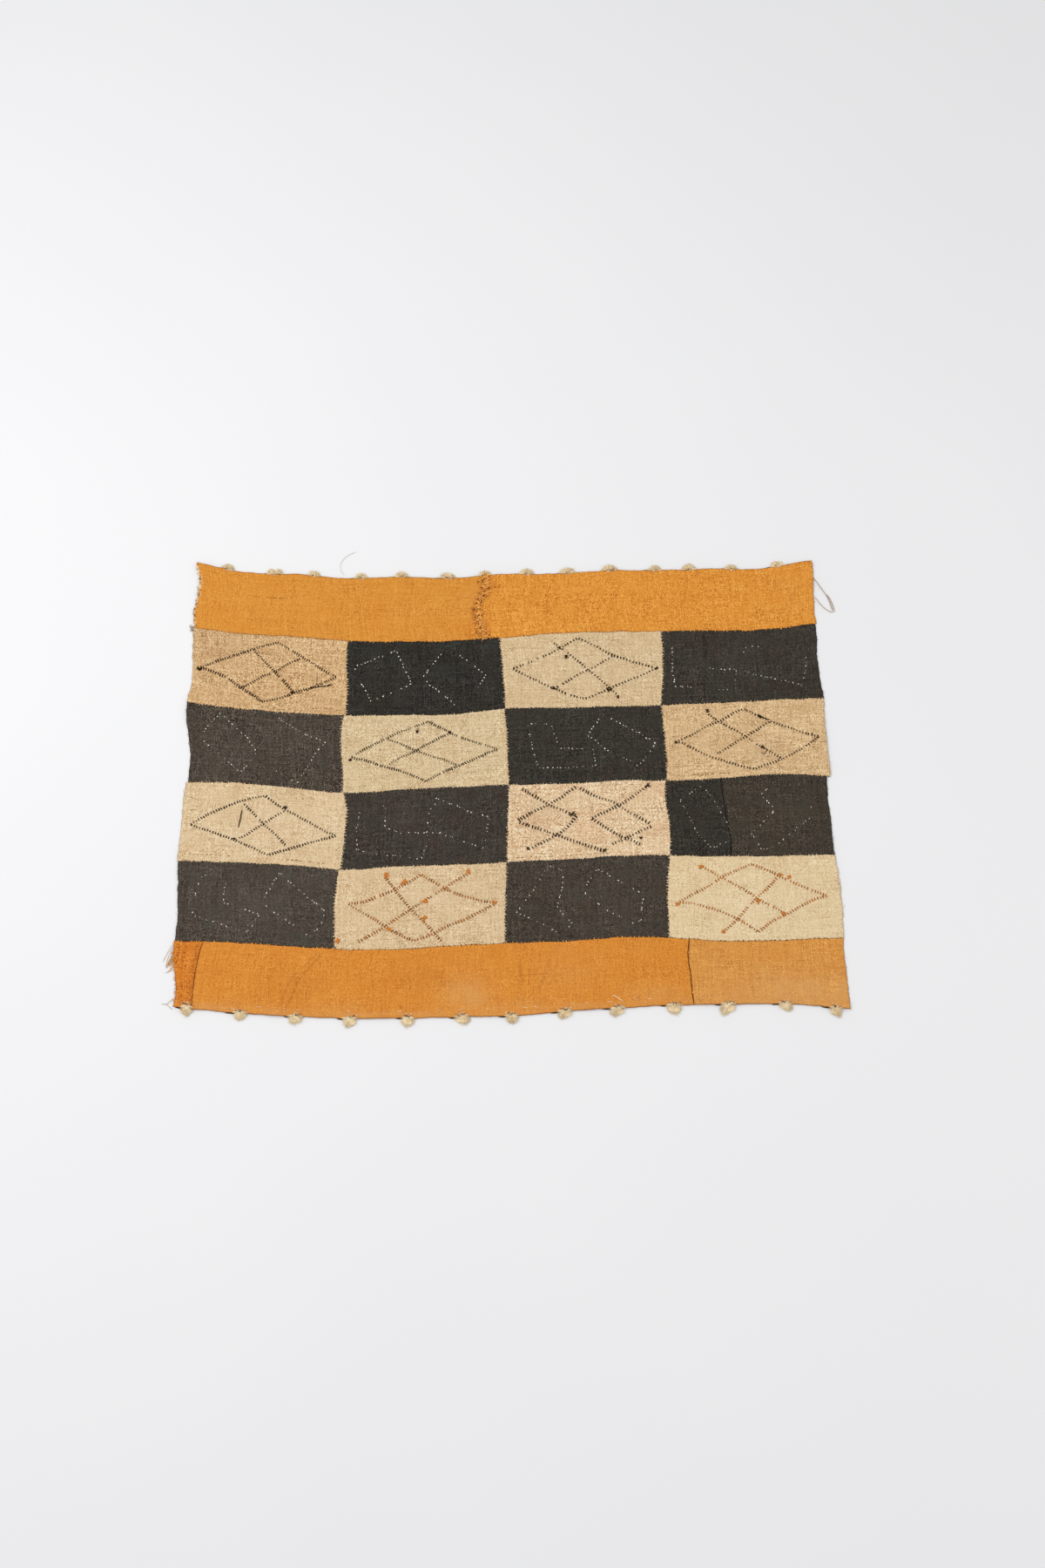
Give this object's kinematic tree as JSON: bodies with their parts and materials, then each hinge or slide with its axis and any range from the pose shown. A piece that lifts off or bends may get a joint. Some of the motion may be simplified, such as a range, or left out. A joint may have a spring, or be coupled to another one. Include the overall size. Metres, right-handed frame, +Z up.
{
  "type": "kuba raffia cloth",
  "caption": "Patchwork cloth of woven raffia panels, natural and black by turns, with orange borders and small raffia tufts along both hems, lying flat to cover or be worn.",
  "frame": {"origin": "middle of the cloth's bounding box, on the surface it lies on", "axes": "+X along the rows of panels to the right, +Y from the near border to the far border, +Z up from the surface to the face that shows"},
  "size_m": [1.1648, 0.8742, 0.009],
  "materials": {
    "raffia_natural": "plain-woven natural raffia, matt, about 1 mm strands",
    "raffia_black": "plain-woven raffia dyed black, matt, rubbed and faded in places",
    "raffia_orange": "plain-woven raffia dyed orange, matt, faded towards the near edge",
    "raffia_tuft": "loose bundles of undyed raffia fibre, slightly silky"
  },
  "bodies": {
    "root": {"panel_1_1": "raffia_natural", "panel_1_3": "raffia_natural", "panel_2_2": "raffia_natural", "panel_2_4": "raffia_natural", "panel_3_1": "raffia_natural", "panel_3_3": "raffia_natural", "panel_4_2": "raffia_natural", "panel_4_4": "raffia_natural", "panel_1_2": "raffia_black", "panel_1_4": "raffia_black", "panel_2_1": "raffia_black", "panel_2_3": "raffia_black", "panel_3_2": "raffia_black", "panel_3_4_left": "raffia_black", "panel_3_4_right": "raffia_black", "panel_4_1": "raffia_black", "panel_4_3": "raffia_black", "far_border_left": "raffia_orange", "far_border_right": "raffia_orange", "near_border_end": "raffia_orange", "near_border_middle": "raffia_orange", "near_border_right": "raffia_orange", "far_tuft_01": "raffia_tuft", "far_tuft_02": "raffia_tuft", "far_tuft_03": "raffia_tuft", "far_tuft_04": "raffia_tuft", "far_tuft_05": "raffia_tuft", "far_tuft_06": "raffia_tuft", "far_tuft_07": "raffia_tuft", "far_tuft_08": "raffia_tuft", "far_tuft_09": "raffia_tuft", "far_tuft_10": "raffia_tuft", "far_tuft_11": "raffia_tuft", "far_tuft_12": "raffia_tuft", "far_tuft_13": "raffia_tuft", "far_tuft_14": "raffia_tuft", "near_tuft_01": "raffia_tuft", "near_tuft_02": "raffia_tuft", "near_tuft_03": "raffia_tuft", "near_tuft_04": "raffia_tuft", "near_tuft_05": "raffia_tuft", "near_tuft_06": "raffia_tuft", "near_tuft_07": "raffia_tuft", "near_tuft_08": "raffia_tuft", "near_tuft_09": "raffia_tuft", "near_tuft_10": "raffia_tuft", "near_tuft_11": "raffia_tuft", "near_tuft_12": "raffia_tuft", "near_tuft_13": "raffia_tuft"}
  },
  "joints": []
}
